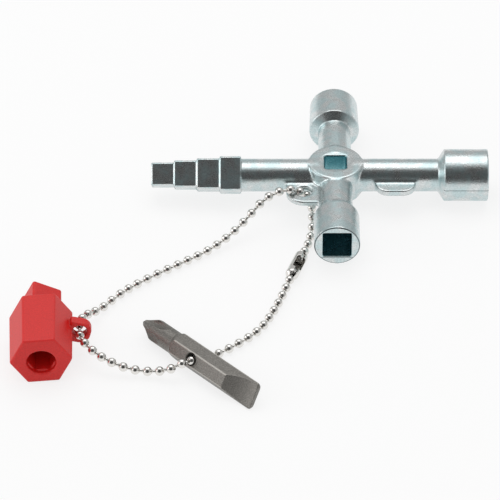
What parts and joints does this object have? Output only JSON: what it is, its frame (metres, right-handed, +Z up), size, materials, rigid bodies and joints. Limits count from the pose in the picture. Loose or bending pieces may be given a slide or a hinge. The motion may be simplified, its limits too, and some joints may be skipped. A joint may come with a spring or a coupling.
{
  "type": "multi utility key",
  "caption": "Cross-shaped utility cabinet key with square, triangle and stepped ends, and a red bit adapter and screwdriver bit threaded on a ball chain.",
  "frame": {"origin": "centre of the cross's hub, on the casting's parting plane", "axes": "+X towards the triangle socket, +Y towards the large square socket, +Z up, square to the parting plane"},
  "size_m": [0.1234, 0.1168, 0.0141],
  "materials": {
    "zinc_casting": "fine-grained cast surface, satin",
    "red_plastic": "matt moulded plastic",
    "tool_steel": "sand-blasted steel",
    "nickel_plate": "bright nickel plate"
  },
  "bodies": {
    "root": {"cross_key": "zinc_casting", "bit_adapter": "red_plastic", "screwdriver_bit": "tool_steel", "chain_clasp": "nickel_plate", "chain_beads_1": "nickel_plate", "chain_beads_2": "nickel_plate", "chain_beads_3": "nickel_plate", "chain_beads_4": "nickel_plate", "chain_beads_5": "nickel_plate", "chain_beads_6": "nickel_plate", "chain_beads_7": "nickel_plate", "chain_beads_8": "nickel_plate", "chain_pins_1": "nickel_plate", "chain_pins_2": "nickel_plate", "chain_pins_3": "nickel_plate", "chain_pins_4": "nickel_plate", "chain_pins_5": "nickel_plate", "chain_pins_6": "nickel_plate", "chain_pins_7": "nickel_plate", "chain_pins_8": "nickel_plate"}
  },
  "joints": []
}
